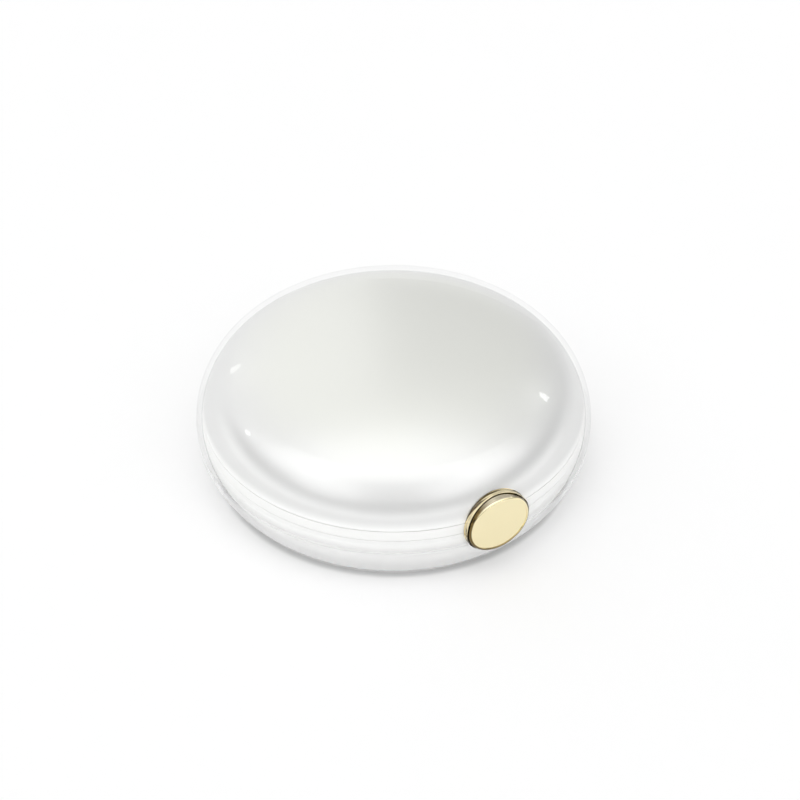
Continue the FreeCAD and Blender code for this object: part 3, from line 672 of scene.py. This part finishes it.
# studio: a white tent, bright along its foot and towards the camera and greyer behind, with a strip
# overhead, a panel on each side of the camera and three small bright spots. Each pair is the low and
# the high end of a soft step, on a slope or on one part of the direction
tent = {
    "front": 1.08, "behind": 0.84, "rear": (0.0, 0.6), "side": 0.06, "left": 0.42, "leftFrom": (-0.02, 0.16),
    "low": 1.2, "lowEnd": (0.06, 0.16), "dip": 0.95, "dipStart": (0.1, 0.2), "dipEnd": (0.3, 0.42),
    "strip": 0.98, "stripWide": (1.5, 2.3), "stripNear": (-0.12, 0.12), "stripFar": (0.5, 0.85),
    "panels": 0.85, "panelIn": (0.25, 0.55), "panelOut": (1.5, 2.2), "panelNear": (0.05, 0.2),
    "panelFoot": (0.28, 0.42), "panelHead": (0.65, 0.8), "flattest": 0.05,
    "spots": (((0.855, 0.100, 0.509), 12.0), ((-0.166, 0.936, 0.311), 3.5), ((-0.651, 0.602, 0.463), 9.0)),
    "spotEdge": (0.9995, 0.9999), "seen": 1.0,
}


def dot(graph, vector):
    sockets = {0: graph.at("Generated"), 1: vector}
    return graph.one("ShaderNodeVectorMath", {"operation": "DOT_PRODUCT"}, sockets, "Value")


def addTent():
    world = bpy.data.worlds.new("tent")
    bpy.context.scene.world = world
    world.use_nodes = True
    g = Graph(world.node_tree)
    a = math.radians(view["azimuth"])
    right = dot(g, (math.cos(a), math.sin(a), 0))
    away = dot(g, (-math.sin(a), math.cos(a), 0))
    up = dot(g, (0, 0, 1))
    steep = up.least(tent["flattest"])
    sideways = abs(right) / steep
    forward = -away / steep
    strip = (1 - g.ramp(sideways, *tent["stripWide"])) * g.ramp(forward, *tent["stripNear"])
    strip = strip * (1 - g.ramp(forward, *tent["stripFar"]))
    spread = abs(right) / (-away).least(tent["flattest"])
    panels = g.ramp(spread, *tent["panelIn"]) * (1 - g.ramp(spread, *tent["panelOut"]))
    panels = panels * g.ramp(-away, *tent["panelNear"])
    panels = panels * g.ramp(up, *tent["panelFoot"]) * (1 - g.ramp(up, *tent["panelHead"]))
    rear = g.ramp(away, *tent["rear"])
    left = g.ramp(-right, *tent["leftFrom"]) * rear * tent["left"]
    wall = tent["front"] + rear * (tent["behind"] - tent["front"]) - right * tent["side"] + left
    low = (1 - g.ramp(up, *tent["lowEnd"])) * (1 - rear)
    dip = g.ramp(up, *tent["dipStart"]) * (1 - g.ramp(up, *tent["dipEnd"])) * (1 - rear)
    light = wall + low * tent["low"] - dip * tent["dip"]
    light = light + strip * tent["strip"] + panels * tent["panels"]
    for way, power in tent["spots"]:
        light = light + g.ramp(dot(g, way), *tent["spotEdge"]) * power
    path = g.node("ShaderNodeLightPath", {}, {})
    straight = g.out(path, "Diffuse Depth") + g.out(path, "Glossy Depth") < 0.5
    lit = g.one("ShaderNodeBackground", {}, {"Strength": light})
    seen = g.one("ShaderNodeBackground", {}, {"Strength": tent["seen"]})
    both = g.one("ShaderNodeMixShader", {}, {0: straight, 1: lit, 2: seen})
    g.node("ShaderNodeOutputWorld", {}, {"Surface": both})


# pale paper, with a grey ring painted round the foot as a painted contact shadow, and whiter to the eye
# further out
floorLook = {
    "half": 3.0, "pale": rgb(0.95, 0.95, 0.95), "shade": rgb(0.94, 0.94, 0.94),
    "grainScale": 30.0, "rough": 0.9,
    # ring: the grey of the painted contact shadow round the foot
    "ring": rgb(0.7, 0.7, 0.7), "shadowRingIn": (34.9 * mm, 35.4 * mm), "shadowRingOut": (35.8 * mm, 37.1 * mm),
    "white": 0.4, "whiteFrom": (37 * mm, 50 * mm),
}


def addFloor():
    look = floorLook
    half = look["half"]
    mesh = bpy.data.meshes.new("floor")
    corners = [(-half, -half, 0), (half, -half, 0), (half, half, 0), (-half, half, 0)]
    mesh.from_pydata(corners, [], [(0, 1, 2, 3)])
    floor = bpy.data.objects.new("floor", mesh)
    bpy.context.collection.objects.link(floor)
    f = Finish("palePaper")
    grain = f.noise(look["grainScale"], 2.0)
    paper = f.mix(grain, look["pale"], look["shade"])
    reach = f.one("ShaderNodeVectorMath", {"operation": "LENGTH"}, {0: f.at()}, "Value")
    # painted shadow: a grey ring on the paper round the case's foot
    ring = f.ramp(reach, *look["shadowRingIn"]) * (1 - f.ramp(reach, *look["shadowRingOut"]))
    diffuse = f.principled(Base_Color=f.mix(ring, paper, look["ring"]), Roughness=look["rough"])
    white = f.one("ShaderNodeEmission", {}, {})
    path = f.node("ShaderNodeLightPath", {}, {})
    seen = f.out(path, "Is Camera Ray") * f.ramp(reach, *look["whiteFrom"]) * look["white"]
    mesh.materials.append(f.end(f.one("ShaderNodeMixShader", {}, {0: seen, 1: diffuse, 2: white})))


addTent()
addFloor()
bpy.context.scene.view_settings.view_transform = "Standard"
print("studio ready")
